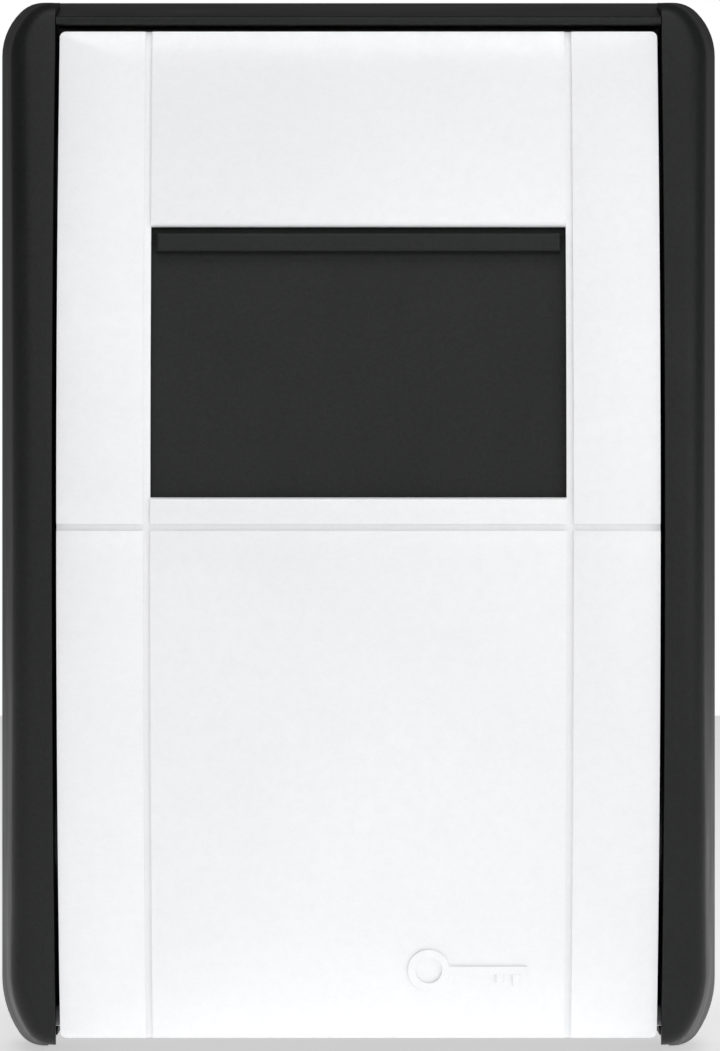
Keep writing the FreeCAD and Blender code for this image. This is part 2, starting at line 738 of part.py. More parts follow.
def make_keeper():
    """Steel angle under the ceiling whose two lugs hold the latch hooks."""
    flange_back = f"({KEEPER_BACK} + keeper_flange)"
    top = CEILING
    flange = box("keeper_flange_plate", symmetric("keeper_half_width"), (KEEPER_FRONT, flange_back),
                 (f"{top} - keeper_thickness", top))
    lugs = []
    for index, side in enumerate(("-", "")):
        right = f"({side}hook_centre - hook_width/2 - keeper_side_gap)"
        lugs.append(box(f"keeper_lug_{index}", (f"{right} - keeper_lug_width", right),
                        (KEEPER_FRONT, KEEPER_BACK), (f"{top} - keeper_depth", top)))
    holes = [rod(f"keeper_screw_hole_{index}", "z", (f"{top} - keeper_depth", f"{top} + past"),
                 (x, f"{KEEPER_BACK} + keeper_flange/2"), "screw_radius")
             for index, x in enumerate(KEEPER_SCREWS)]
    keeper = cut("keeper_plate", join("keeper_blank", [flange] + lugs), *holes)
    screws = []
    under = f"({top} - keeper_thickness)"
    for index, x in enumerate(KEEPER_SCREWS):
        y = f"{KEEPER_BACK} + keeper_flange/2"
        shank = rod(f"keeper_screw_{index}_shank", "z", (under, f"{under} + keeper_thickness + ceiling_wall"),
                    (x, y), "screw_radius")
        head = rod(f"keeper_screw_{index}_head", "z", (f"{under} - screw_head_height", under), (x, y),
                   "screw_head_radius")
        screws += [shank, head]
    return [keeper, join("keeper_screws", screws)]


def make_key_hook():
    """Wire hook for the keys on a small plate on the back wall."""
    wall = "-back_wall"
    low = "(hook_plate_top - hook_plate_height)"
    plate_body = box("hook_plate", symmetric("hook_plate_width/2"), (f"{wall} - hook_wire", wall),
                     (low, "hook_plate_top"))
    middle = f"({low} + hook_rise)"
    arm = rod("hook_arm", "y", (f"{wall} - hook_reach", f"{wall} - hook_wire/2"), ("0", middle), "hook_wire")
    tip = rod("hook_tip", "z", (middle, f"{middle} + hook_rise"), ("0", f"{wall} - hook_reach"), "hook_wire")
    elbow = doc.addObject("Part::Sphere", "hook_elbow")
    elbow.setExpression("Radius", bound("hook_wire"))
    elbow.setExpression("Placement.Base.y", bound(f"{wall} - hook_reach"))
    elbow.setExpression("Placement.Base.z", bound(middle))
    rivets = [rod(f"hook_rivet_{index}", "y", (f"{wall} - hook_wire - rivet_height", f"{wall} - hook_wire/2"),
                  (f"{side}rivet_spacing/2", "hook_plate_top - rivet_inset"), "screw_radius")
              for index, side in enumerate(("-", ""))]
    return join("key_hook", [plate_body, arm, tip, elbow] + rivets)


def make_hinge_pins():
    """Two short pins pressed into the cheeks, on which the door turns."""
    outer = f"({HOUSING_OUT} - part_gap)"
    inner = f"({DOOR_SIDE} - pin_reach)"
    return join("hinge_pins", [rod(f"hinge_pin_{name}", "x", span, (HINGE_Y, HINGE_Z), "pin_radius")
                               for name, span in both_spans(inner, outer)])


# Door: front panel and what is fixed in it

def arc_groove(name, x, z):
    """The part of a box that lies outside the groove's floor, to be cut from the front panel."""
    block = box(f"{name}_block", x, ("-2*body_depth", "0"), z)
    return cut(name, block, arc_solid(f"{name}_floor", f"{DOOR_RADIUS} - groove_depth"))


def door_posts(name, radius, reach="body_depth"):
    """Round pieces on the boss centres, each running forward by reach from its boss's rear face."""
    faces = {CARRIER_FRONT: BOSS_HEIGHTS, f"({COVER_FRONT} - part_gap)": COVER_BOSSES}
    posts = []
    for number, (face, heights) in enumerate(faces.items()):
        end = face if reach == "body_depth" else "0"
        for side, sign, height in both(heights):
            posts.append(rod(f"{name}_{number}_{side}", "y", (f"{face} - {reach}", end),
                             (f"{sign}{BOSS_X}", height), radius))
    return posts


def make_door_front():
    """Curved front panel with tray walls, window, grooves, bosses, rails and hinge knuckles."""
    block = box("door_block", symmetric(DOOR_SIDE), ("-2*body_depth", TRAY_BACK), (DOOR_BOTTOM, DOOR_TOP))
    sharp = common("door_sharp", [block, arc_solid("door_curve", DOOR_RADIUS)])
    doc.recompute()
    back = value(TRAY_BACK)

    def tray_corner(edge):
        """True for the four corners along Y."""
        box_of = edge.BoundBox
        straight = box_of.XLength < 0.01 and box_of.ZLength < 0.01
        return straight and box_of.YLength > 3 and box_of.YMax > back - 0.01

    first = rounded("door_corners", sharp, "door_corner", tray_corner)
    room_block = box("door_room_block", symmetric(TRAY_SIDE), ("-2*body_depth", "0"),
                     (f"{DOOR_BOTTOM} + door_skin", f"{DOOR_TOP} - door_skin"))
    room = common("door_room", [room_block, arc_solid("door_room_front", SKIN_RADIUS)])
    heel = box("door_heel", symmetric("body_width"), (f"{HINGE_Y} + knuckle_radius", "0"),
               ("-body_height", f"{HINGE_Z} + 2*part_gap"))
    knuckles = []
    for name, span in both_spans(f"{DOOR_SIDE} - pin_reach - past", DOOR_SIDE):
        barrel = rod(f"knuckle_{name}_barrel", "x", span, (HINGE_Y, HINGE_Z), "knuckle_radius")
        knuckles.append(common(f"knuckle_{name}", [barrel, first]))
    inside_skin = f"({SKIN_RADIUS} + door_skin/2)"
    posts = common("door_posts", [join("door_post_set", door_posts("boss", "boss_radius")),
                                  arc_solid("door_post_front", inside_skin)])
    rails = [shell(f"rail_{name}", inside_skin, f"{PLATE_RADIUS} + part_gap", span, (PLATE_BOTTOM, PLATE_TOP))
             for name, span in both_spans(RAIL_SIDE, f"{RAIL_SIDE} + rail_width")]
    tray = cut("door_tray", first, room, heel)
    whole = join("door_whole", [tray, posts] + knuckles + rails)
    window = box("door_window", symmetric(WINDOW_SIDE), ("-2*body_depth", DIAL_Y),
                 (WINDOW_BOTTOM, WINDOW_TOP))
    opened = cut("door_opened", whole, window)
    doc.recompute()
    reach = value(DOOR_RADIUS)
    half = value(WINDOW_SIDE)
    half_height = value("window_height/2")
    middle = value("window_centre")
    offset = value("arc_offset")

    def window_edge(edge):
        """True for the window's upper and lower front edges."""
        box_of = edge.BoundBox
        centre = box_of.Center
        level = box_of.XLength > half and abs(box_of.XLength - 2 * half) < 0.01
        on_face = abs(math.hypot(centre.y - offset, centre.z) - reach) < 0.01
        return level and on_face and abs(abs(centre.z - middle) - half_height) < 0.01

    soft = rounded("door_soft", opened, "window_round", window_edge)
    tools = [arc_groove(f"groove_{name}", span, symmetric("body_height"))
             for name, span in both_spans(WINDOW_SIDE, f"{WINDOW_SIDE} + groove_width")]
    tools.append(arc_groove("groove_level", symmetric("body_width"), ("-groove_width", "0")))
    tools.append(rod("knuckle_bore", "x", symmetric("body_width"), (HINGE_Y, HINGE_Z),
                     "pin_radius + pin_clearance"))
    tools += door_posts("boss_hole", "screw_radius", "screw_length")
    return cut("door_front", soft, *tools)


def make_dial_plate():
    """Bezel behind the window: four ring slots, a knob slot and two runners for the slide cover."""
    side = f"({TRAY_SIDE} - 3*part_gap)"
    base = shell("dial_plate_base", PLATE_RADIUS, PLATE_BACK, symmetric(side), (PLATE_BOTTOM, PLATE_TOP))
    runners = [shell(f"runner_{name}", f"{SLIDER_BACK} - runner_gap", f"{PLATE_RADIUS} - plate_thickness/2",
                     span, (PLATE_BOTTOM, PLATE_TOP))
               for name, span in both_spans(f"{SLIDER_SIDE} - runner_width", SLIDER_SIDE)]
    tools = []
    for index, centre in enumerate(RINGS):
        half = "(ring_width/2 + slot_gap)"
        tools.append(box(f"ring_slot_{index}", (f"{centre} - {half}", f"{centre} + {half}"),
                         ("-2*body_depth", "0"),
                         ("dial_height - slot_half_height", "dial_height + slot_half_height")))
    tools.append(box("knob_slot",
                     ("knob_left - latch_travel - 2*slot_gap", "knob_left + knob_width + slot_gap"),
                     ("-2*body_depth", "0"),
                     ("dial_height - knob_height/2 - slot_gap", "dial_height + knob_height/2 + slot_gap")))
    for side, sign, height in both(BOSS_HEIGHTS + COVER_BOSSES[:1]):
        tools.append(rod(f"plate_boss_hole_{side}", "y", ("-2*body_depth", "0"), (f"{sign}{BOSS_X}", height),
                         "boss_radius + part_gap"))
    return cut("dial_plate", join("dial_plate_blank", [base] + runners), *tools)


def make_carrier():
    """Frame behind the bezel: two bars on the door's bosses and two cheeks for the dial shaft."""
    frame_y = (CARRIER_FRONT, CARRIER_BACK)
    side = f"({BOSS_X} + boss_radius)"
    bars = [box(f"carrier_bar_{index}", symmetric(side), frame_y,
                (low, f"{low} + carrier_bar")) for index, low in enumerate((BAR_LOW, BAR_HIGH))]
    cheek_y = (f"{DIAL_Y} - 2*shaft_radius", f"{LATCH_FRONT} - latch_gap")
    cheek_z = ("dial_height - cheek_half_height", "dial_height + cheek_half_height")
    spans = (("left", ("-cheek_left", "cheek_thickness - cheek_left")),
             ("right", ("cheek_right", "cheek_right + cheek_thickness")))
    cheeks = [box(f"carrier_cheek_{name}", span, cheek_y, cheek_z) for name, span in spans]
    web_end = f"({WINDOW_SIDE} + carrier_margin)"
    web_z = (BAR_LOW, f"{BAR_HIGH} + carrier_bar")
    webs = [box("carrier_web_left", ("-cheek_left", "cheek_thickness - cheek_left"), frame_y, web_z),
            box("carrier_web_right", ("knob_left + knob_width + slot_gap", web_end), frame_y, web_z),
            box("carrier_arm_right", ("cheek_right", web_end), frame_y, cheek_z)]
    tools = [rod("carrier_shaft_hole", "x", symmetric("body_width"), (DIAL_Y, "dial_height"),
                 "shaft_radius + shaft_clearance")]
    for side, sign, height in both(BOSS_HEIGHTS):
        tools.append(rod(f"carrier_hole_{side}", "y", ("-body_depth", "0"), (f"{sign}{BOSS_X}", height),
                         "screw_radius"))
    seat = ("spring_start + spring_length", "spring_start + spring_length + latch_thickness")
    lug_z = (BAR_HIGH, f"{SPRING_Z} + spring_radius + spring_wire")
    lug = box("carrier_spring_lug", seat, (CARRIER_FRONT, f"{SPRING_Y} + spring_radius + spring_wire"), lug_z)
    return cut("mechanism_carrier", join("carrier_blank", bars + cheeks + webs + [lug]), *tools)


def boss_screws(name, head_face, heights):
    """A screw in each boss, on both sides, at the heights."""
    return join(name, [screw_y(f"{name}_{side}", head_face, (f"{sign}{BOSS_X}", height))
                       for side, sign, height in both(heights)])


def make_detent_spring():
    """Thin spring strip on the lower bar, with one leaf under each number ring."""
    back = f"({LATCH_FRONT} - latch_gap)"
    strip = box("detent_strip", (f"{RINGS[0]} - ring_width/2", f"{RINGS[3]} + ring_width/2"),
                (CARRIER_BACK, back), (BAR_LOW, f"{BAR_LOW} + detent_thickness"))
    leaves = [box(f"detent_leaf_{index}", (f"{centre} - detent_width/2", f"{centre} + detent_width/2"),
                  (f"{back} - detent_thickness", back), (BAR_LOW, f"{BAR_LOW} + carrier_bar"))
              for index, centre in enumerate(RINGS)]
    return join("detent_spring", [strip] + leaves)


def make_inner_cover():
    """Box lid over the mechanism inside the door, with a slot for the code-change lever."""
    side = f"({TRAY_SIDE} - cover_fit)"
    top = COVER_TOP
    bottom = "-cover_bottom"
    plate_box = box("inner_cover_plate", symmetric(side), (COVER_FRONT, COVER_BACK), (bottom, top))
    rim_out = box("inner_cover_rim_block", symmetric(side), (f"{TRAY_BACK} - cover_rim", COVER_FRONT),
                  (bottom, top))
    rim_in = box("inner_cover_rim_room", symmetric(f"{side} - cover_rim"), ("-2*body_depth", COVER_FRONT),
                 (f"{bottom} + cover_rim", f"{top} - cover_rim"))
    rim = cut("inner_cover_rim", rim_out, rim_in)
    half_slot = "(lever_height/2 + lever_gap)"
    tools = [box("lever_slot",
                 ("-lever_left - lever_gap", "lever_thickness + code_shift + lever_gap - lever_left"),
                 ("-2*body_depth", "0"), (f"dial_height - {half_slot}", f"dial_height + {half_slot}"))]
    for index, side_sign in enumerate(("-", "")):
        middle = f"{side_sign}hook_centre"
        half_slot = "(hook_width/2 + arm_gap)"
        tools.append(box(f"arm_slot_{index}",
                         (f"{middle} - {half_slot} - latch_travel", f"{middle} + {half_slot}"),
                         (f"{LATCH_FRONT} - latch_gap", COVER_FRONT),
                         (f"{top} - cover_rim - past", f"{top} + past")))
    for side_name, sign, height in both(COVER_BOSSES):
        place = (f"{sign}{BOSS_X}", height)
        tools.append(rod(f"cover_hole_{side_name}", "y", (f"{COVER_FRONT} - past", "0"), place,
                         "screw_radius"))
        tools.append(rod(f"rim_relief_{side_name}", "y", ("-body_depth", COVER_FRONT), place,
                         "boss_radius + part_gap"))
    return cut("inner_cover", join("inner_cover_blank", [plate_box, rim]), *tools)


# Moving pieces of the door

def make_slider():
    """Curved cover over the dials with a finger ridge along its upper edge."""
    sheet_part = shell("slider_sheet", SLIDER_RADIUS, SLIDER_BACK, symmetric(SLIDER_SIDE),
                       (SLIDER_BOTTOM, SLIDER_TOP))
    ridge_top = f"({WINDOW_TOP} - ridge_top_gap)"
    ridge = shell("slider_ridge", f"{DOOR_RADIUS} - ridge_setback", f"{SLIDER_RADIUS} - slider_thickness/2",
                  symmetric(f"{WINDOW_SIDE} - ridge_side_gap"), (f"{ridge_top} - ridge_height", ridge_top))
    doc.recompute()
    reach = value(f"{DOOR_RADIUS} - ridge_setback")
    offset = value("arc_offset")

    def front_edge(edge):
        ends = [vertex.Point for vertex in edge.Vertexes]
        return all(abs(math.hypot(p.y - offset, p.z) - reach) < 0.01 for p in ends)

    soft = rounded("slider_ridge_soft", ridge, "ridge_round", front_edge)
    return join("slider_cover", [sheet_part, soft])


def make_latch_plate():
    """Steel slide behind the rings: a bar with four fingers and two arms that end in hooks."""
    y = (LATCH_FRONT, LATCH_BACK)
    low = "(dial_height - ring_radius + latch_inset)"
    high = "(dial_height + ring_radius - latch_inset)"
    left = f"({RINGS[0]} - ring_width/2)"
    right = "(stem_left + stem_width + latch_inset)"
    parts = [box("latch_bar", (left, right), y, (low, high))]
    for index, side in enumerate(("-", "")):
        middle = f"{side}hook_centre"
        parts.append(box(f"latch_arm_{index}", (f"{middle} - arm_width/2", f"{middle} + arm_width/2"), y,
                         (high, HOOK_TOP)))
        parts.append(box(f"latch_hook_{index}", (f"{middle} - hook_width/2", f"{middle} + hook_width/2"), y,
                         (f"{HOOK_TOP} - hook_height", HOOK_TOP)))
    for index, centre in enumerate(RINGS):
        parts.append(box(f"latch_finger_{index}",
                         (f"{centre} + finger_left", f"{centre} + finger_left + finger_thickness"),
                         (f"{DIAL_Y} + hub_radius + finger_gap", f"{LATCH_FRONT} + latch_thickness/2"),
                         ("dial_height - finger_height/2", "dial_height + finger_height/2")))
    tab_z = (high, f"{SPRING_Z} + spring_radius + spring_wire")
    parts.append(box("latch_tab_root", ("spring_start - tab_width", "spring_start"), y, tab_z))
    parts.append(box("latch_tab", ("spring_start - latch_thickness", "spring_start"),
                     (f"{SPRING_Y} - spring_radius - spring_wire", LATCH_BACK),
                     (f"{SPRING_Z} - spring_radius - spring_wire", tab_z[1])))
    return join("latch_plate", parts)


def make_latch_spring():
    """Coil spring that pushes the latch plate to its locked place."""
    helix = doc.addObject("Part::Helix", "spring_helix")
    helix.setExpression("Radius", bound("spring_radius"))
    helix.setExpression("Height", bound("spring_length - 2*spring_wire - 2*part_gap"))
    helix.setExpression("Pitch", bound("(spring_length - 2*spring_wire - 2*part_gap)/spring_turns"))
    helix.Placement = Placement(Vector(), TURNS["x"])
    ring = doc.addObject("Part::Circle", "spring_section")
    ring.setExpression("Radius", bound("spring_wire"))
    ring.Placement = Placement(Vector(), TURNS["y"])
    for made, z in ((helix, SPRING_Z), (ring, f"{SPRING_Z} - spring_radius")):
        made.setExpression("Placement.Base.x", bound("spring_start + spring_wire + part_gap"))
        made.setExpression("Placement.Base.y", bound(SPRING_Y))
        made.setExpression("Placement.Base.z", bound(z))
    made = doc.addObject("Part::Sweep", "latch_spring")
    made.Sections = [ring]
    made.Spine = (helix, ["Edge1"])
    made.Solid = True
    made.Frenet = True
    return made


def make_release_knob():
    """Thumb knob in the bezel, with two stems back to the latch plate past the shaft's cheek."""
    x = ("knob_left", "knob_left + knob_width")
    z = ("dial_height - knob_height/2", "dial_height + knob_height/2")
    face = shell("knob_face", KNOB_RADIUS, PLATE_BACK, x, z)
    grips = []
    for index, share in enumerate(("0.25", "0.5", "0.75")):
        middle = f"(knob_left + knob_width*{share})"
        block = box(f"knob_grip_{index}_block", (f"{middle} - grip_width/2", f"{middle} + grip_width/2"),
                    ("-2*body_depth", "0"), (f"{z[0]} + grip_margin", f"{z[1]} - grip_margin"))
        floor = arc_solid(f"knob_grip_{index}_floor", f"{KNOB_RADIUS} - grip_depth")
        grips.append(cut(f"knob_grip_{index}", block, floor))
    body = cut("knob_body", face, *grips)
    stems = []
    stem_x = ("stem_left", "stem_left + stem_width")
    stem_y = (f"{DIAL_Y} + latch_inset - ring_radius", LATCH_FRONT)
    for index, span in enumerate(((z[0], f"{z[0]} + stem_height"), (f"{z[1]} - stem_height", z[1]))):
        stems.append(box(f"knob_stem_{index}", stem_x, stem_y, span))
    return join("release_knob", [body] + stems)


def make_shaft():
    """Dial shaft, its two clips and the lever that shifts it to change the code."""
    left = "(-lever_left)"
    right = "(cheek_right + cheek_thickness + 2*part_gap)"
    shaft = turned("dial_shaft", [("0", "0"), (f"{right} - {left}", "0"),
                                  (f"{right} - {left}", "shaft_radius"), ("0", "shaft_radius")],
                   (left, DIAL_Y, "dial_height"))
    hubs_left = f"({RINGS[0]} - hub_left)"
    hubs_right = f"({RINGS[3]} + hub_flange_left + hub_flange_thickness)"
    clips = []
    for index, start in enumerate((f"{hubs_left} - part_gap - clip_thickness", f"{hubs_right} + part_gap")):
        disc = rod(f"clip_disc_{index}", "x", (start, f"{start} + clip_thickness"), (DIAL_Y, "dial_height"),
                   "clip_radius")
        through = (f"{start} - past", f"{start} + clip_thickness + past")
        bore = rod(f"clip_bore_{index}", "x", through, (DIAL_Y, "dial_height"), "shaft_radius")
        gap = box(f"clip_gap_{index}", through, (f"{DIAL_Y} - clip_radius - past", DIAL_Y),
                  ("dial_height - clip_opening/2", "dial_height + clip_opening/2"))
        clips.append(cut(f"clip_{index}", disc, bore, gap))
    z = ("dial_height - lever_height/2", "dial_height + lever_height/2")
    arm = box("lever_arm", ("-lever_left", "lever_thickness - lever_left"),
              (f"{DIAL_Y} - shaft_radius - lever_wall", f"{COVER_BACK} + lever_proud"), z)
    bore = rod("lever_bore", "x", symmetric("body_width"), (DIAL_Y, "dial_height"), "shaft_radius")
    lever = cut("code_change_lever", arm, bore)
    return [shaft, join("shaft_clips", clips), lever]


def make_ring(index, centre):
    """Number ring: outer grip grooves, a notched bore at its left end and a wider bore beyond."""
    name = f"number_ring_{index + 1}"
    bore = "(hub_radius + ring_bore_clearance)"
    body = turned(name, [
        ("0", bore), ("ring_notch_length", bore), ("ring_notch_length", "ring_counterbore_radius"),
        ("ring_width", "ring_counterbore_radius"), ("ring_width", "ring_radius - ring_chamfer"),
        ("ring_width - ring_chamfer", "ring_radius"), ("ring_chamfer", "ring_radius"),
        ("0", "ring_radius - ring_chamfer"),
    ], (f"{centre} - ring_width/2", DIAL_Y, "dial_height"))
    notch = sketch_on(body, f"{name}_notch", "YZ_Plane", "ring_notch_length")
    rectangle(notch, ("hub_radius - past", "ring_notch_radius"), symmetric("ring_notch_width/2"))
    first = pocket(body, notch, "ring_notch_length")
    around(body, first, 10)
    groove = sketch_on(body, f"{name}_groove", "YZ_Plane", "ring_width")
    distance = "(ring_radius + ring_groove_radius - ring_groove_depth)"
    ring_of(groove, (f"cos(ring_groove_angle)*{distance}", f"sin(ring_groove_angle)*{distance}"),
            "ring_groove_radius")
    second = pocket(body, groove, "ring_width")
    around(body, second, 10)
    return body


def make_hub(index, centre):
    """Code hub: sleeve on the shaft, a tooth for the ring's notches and a notched flange."""
    name = f"code_hub_{index + 1}"
    bore = "(shaft_radius + shaft_clearance)"
    flange = "(hub_left + hub_flange_left)"
    end = f"({flange} + hub_flange_thickness)"
    body = turned(name, [
        ("0", bore), (end, bore), (end, "hub_flange_radius"), (flange, "hub_flange_radius"),
        (flange, "hub_radius"), ("0", "hub_radius"),
    ], (f"{centre} - hub_left", DIAL_Y, "dial_height"))
    tooth_end = "(hub_left - ring_width/2 + hub_tooth_length)"
    tooth = sketch_on(body, f"{name}_tooth", "YZ_Plane", f"{tooth_end} - hub_tooth_length")
    rectangle(tooth, ("hub_radius - past", "hub_tooth_radius"), symmetric("hub_tooth_width/2"))
    pad(body, tooth, "hub_tooth_length")
    notch = sketch_on(body, f"{name}_notch", "YZ_Plane", f"{end} + past")
    rectangle(notch, ("hub_radius + part_gap", "hub_flange_radius + past"), symmetric("hub_notch_width/2"))
    pocket(body, notch, "hub_flange_thickness + 2*past")
    return body


# The whole object

def make_all():
    parts = [make_housing()]
    parts += make_side_covers()
    parts.append(make_top_cover())
    parts.append(make_cover_screws())
    parts += make_keeper()
    parts.append(make_key_hook())
    parts.append(make_hinge_pins())
    parts.append(make_door_front())
    parts.append(make_dial_plate())
    parts.append(make_carrier())
    parts.append(boss_screws("carrier_screws", CARRIER_BACK, BOSS_HEIGHTS))
    parts.append(make_detent_spring())
    parts.append(make_inner_cover())
    parts.append(boss_screws("inner_cover_screws", COVER_BACK, COVER_BOSSES))
    parts.append(make_slider())
    parts.append(make_latch_plate())
    parts.append(make_release_knob())
    parts.append(make_latch_spring())
    parts += make_shaft()
    for index, centre in enumerate(RINGS):
        parts.append(make_ring(index, centre))
        parts.append(make_hub(index, centre))
    return parts


def write_parts(parts):
    """Check every object, then write each sub-part to its own file."""
    doc.recompute()
    for made in doc.Objects:
        if "Invalid" in made.State or "Error" in made.State:
            raise RuntimeError(f"{made.Name} failed: {made.State}")
    for made in parts:
        if made.Shape.isNull() or not made.Shape.isValid():
            raise RuntimeError(f"{made.Label} has no valid shape")
    os.makedirs("parts", exist_ok=True)
    for made in parts:
        made.Shape.exportStep(f"parts/{made.Label}.step")
        extent = made.Shape.BoundBox
        print(f"{made.Label}: {len(made.Shape.Solids)} solid(s), {made.Shape.Volume:.0f} mm3, "
              f"x {extent.XMin:.2f} {extent.XMax:.2f}, y {extent.YMin:.2f} {extent.YMax:.2f}, "
              f"z {extent.ZMin:.2f} {extent.ZMax:.2f}")


write_parts(make_all())
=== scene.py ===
import json
import math

import bmesh
import bpy
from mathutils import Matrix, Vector


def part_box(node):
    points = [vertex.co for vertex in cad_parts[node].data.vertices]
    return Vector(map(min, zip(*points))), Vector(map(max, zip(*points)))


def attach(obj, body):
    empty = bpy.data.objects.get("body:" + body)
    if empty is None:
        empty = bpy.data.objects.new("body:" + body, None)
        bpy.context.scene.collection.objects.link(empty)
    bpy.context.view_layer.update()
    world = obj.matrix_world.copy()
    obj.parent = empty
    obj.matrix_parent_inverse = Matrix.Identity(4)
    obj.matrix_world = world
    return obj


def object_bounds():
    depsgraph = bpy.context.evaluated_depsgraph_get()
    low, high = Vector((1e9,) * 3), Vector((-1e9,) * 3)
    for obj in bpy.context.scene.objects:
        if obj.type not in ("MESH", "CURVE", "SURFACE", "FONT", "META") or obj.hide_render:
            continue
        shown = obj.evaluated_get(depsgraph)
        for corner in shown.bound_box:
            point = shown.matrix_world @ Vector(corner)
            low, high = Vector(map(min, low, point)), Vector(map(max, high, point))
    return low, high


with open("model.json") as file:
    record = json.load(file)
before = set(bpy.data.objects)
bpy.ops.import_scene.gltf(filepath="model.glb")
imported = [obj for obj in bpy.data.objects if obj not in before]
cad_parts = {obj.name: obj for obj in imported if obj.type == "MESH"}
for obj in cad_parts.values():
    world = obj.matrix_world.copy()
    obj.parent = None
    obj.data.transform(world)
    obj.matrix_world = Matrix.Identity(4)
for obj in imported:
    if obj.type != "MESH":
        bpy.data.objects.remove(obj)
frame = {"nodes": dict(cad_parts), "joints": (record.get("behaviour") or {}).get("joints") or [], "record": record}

# Looks of the key lock box: materials, numbers on the rings, small marks, light, floor and camera.
# Metres, in the CAD frame: +X right, +Z up, the front faces -Y.

cad_low, cad_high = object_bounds()

MM = 0.001
nodes = frame["nodes"]
joints = {joint["name"]: joint for joint in frame["joints"]}

arc_axis = Vector(joints["slider_slide"]["pos_m"])
ring_axis = Vector(joints["ring_1_turn"]["pos_m"])
RING_COUNT = 4


# Materials

class Shader:
    """A principled material with small helpers for its procedural detail."""

    def __init__(self, name):
        self.material = bpy.data.materials.new(name)
        self.material.use_nodes = True
        self.tree = self.material.node_tree
        self.surface = self.tree.nodes["Principled BSDF"]
        self.place = self.add("ShaderNodeTexCoord").outputs["Object"]

    def add(self, kind, **settings):
        """A new node with its settings."""
        node = self.tree.nodes.new(kind)
        for key, setting in settings.items():
            setattr(node, key, setting)
        return node

    def link(self, source, target):
        """Join an output to an input."""
        self.tree.links.new(source, target)

    def set(self, **sockets):
        """Constants on the shader's own sockets, with _ for a space in a socket's name."""
        for name, setting in sockets.items():
            self.surface.inputs[name.replace("_", " ")].default_value = setting

    def stretched(self, scale):
        """The object's place, scaled by a different amount along each axis."""
        mapping = self.add("ShaderNodeMapping")
        mapping.inputs["Scale"].default_value = scale
        self.link(self.place, mapping.inputs["Vector"])
        return mapping.outputs["Vector"]

    def noise(self, per_metre, detail=2.0, vector=None, roughness=0.5):
        """Soft random clouds, per_metre of them in a metre."""
        node = self.add("ShaderNodeTexNoise")
        node.inputs["Scale"].default_value = per_metre
        node.inputs["Detail"].default_value = detail
        node.inputs["Roughness"].default_value = roughness
        self.link(vector or self.place, node.inputs["Vector"])
        return node.outputs["Fac"]

    def cells(self, per_metre):
        """The red, green and blue of small cells, each with a random colour."""
        node = self.add("ShaderNodeTexVoronoi")
        node.inputs["Scale"].default_value = per_metre
        self.link(self.place, node.inputs["Vector"])
        separate = self.add("ShaderNodeSeparateColor")
        self.link(node.outputs["Color"], separate.inputs["Color"])
        return separate.outputs

    def ranged(self, source, low, high, start=0.3, end=0.7):
        """The source's values from start to end spread over low to high."""
        node = self.add("ShaderNodeMapRange")
        node.inputs["From Min"].default_value = start
        node.inputs["From Max"].default_value = end
        node.inputs["To Min"].default_value = low
        node.inputs["To Max"].default_value = high
        self.link(source, node.inputs["Value"])
        return node.outputs["Result"]

    def blended(self, factor, first, second):
        """Colour between two, each a colour or another node's output."""
        node = self.add("ShaderNodeMix", data_type="RGBA")
        self.link(factor, node.inputs["Factor"])
        sockets = [one for one in node.inputs if one.type == "RGBA"]
        for colour, socket in zip((first, second), sockets):
            if isinstance(colour, bpy.types.NodeSocket):
                self.link(colour, socket)
            else:
                socket.default_value = (*colour, 1.0)
        return next(one for one in node.outputs if one.type == "RGBA")

    def colour(self, output):
        """Use an output as the base colour."""
        self.link(output, self.surface.inputs["Base Color"])

    def rough(self, output):
        """Use an output as the roughness."""
        self.link(output, self.surface.inputs["Roughness"])

    def bumps(self, *layers):
        """Bump from layers of (height output, strength, distance in metres)."""
        normal = None
        for height, strength, distance in layers:
            node = self.add("ShaderNodeBump")
            node.inputs["Strength"].default_value = strength
            node.inputs["Distance"].default_value = distance
            self.link(height, node.inputs["Height"])
            if normal:
                self.link(normal, node.inputs["Normal"])
            normal = node.outputs["Normal"]
        self.link(normal, self.surface.inputs["Normal"])


def silver_paint():
    """Pale silver coat with fine flakes and a faint orange peel."""
    shade, tone = (0.835, 0.838, 0.85), (0.87, 0.872, 0.882)
    speck, flash = (0.79, 0.795, 0.81), (0.96, 0.965, 0.98)
    made = Shader("silver_paint")
    flake = made.cells(per_metre=5200)
    cloud = made.noise(per_metre=55, detail=3.0)
    mottle = made.noise(per_metre=900, detail=3.0, roughness=0.6)
    peel = made.noise(per_metre=700)
    base = made.blended(made.ranged(cloud, low=0.0, high=1.0), shade, tone)
    grain = made.blended(made.ranged(mottle, low=0.0, high=0.35), base, speck)
    glint = made.ranged(flake["Red"], low=0.0, high=0.16, start=0.0, end=1.0)
    made.colour(made.blended(glint, grain, flash))
    made.rough(made.ranged(mottle, low=0.36, high=0.48))
    made.bumps((peel, 0.10, 0.02 * MM), (flake["Green"], 0.05, 0.01 * MM))
    made.set(Metallic=0.18, Coat_Weight=0.25, Coat_Roughness=0.18)
    return made.material


def moulded_plastic(name, dark, light, roughness, coat=0.0, shine=0.5):
    """Moulded plastic with a spark-eroded grain."""
    made = Shader(name)
    grain = made.noise(per_metre=2600, detail=3.0, roughness=0.65)
    patch = made.noise(per_metre=90)
    sink = made.noise(per_metre=160)
    made.colour(made.blended(made.ranged(grain, low=0.0, high=1.0), dark, light))
    made.rough(made.ranged(patch, low=roughness - 0.04, high=roughness + 0.05))
    made.bumps((sink, 0.05, 0.1 * MM), (grain, 0.35, 0.04 * MM))
    made.set(Coat_Weight=coat, Coat_Roughness=0.2, Specular_IOR_Level=shine)
    return made.material


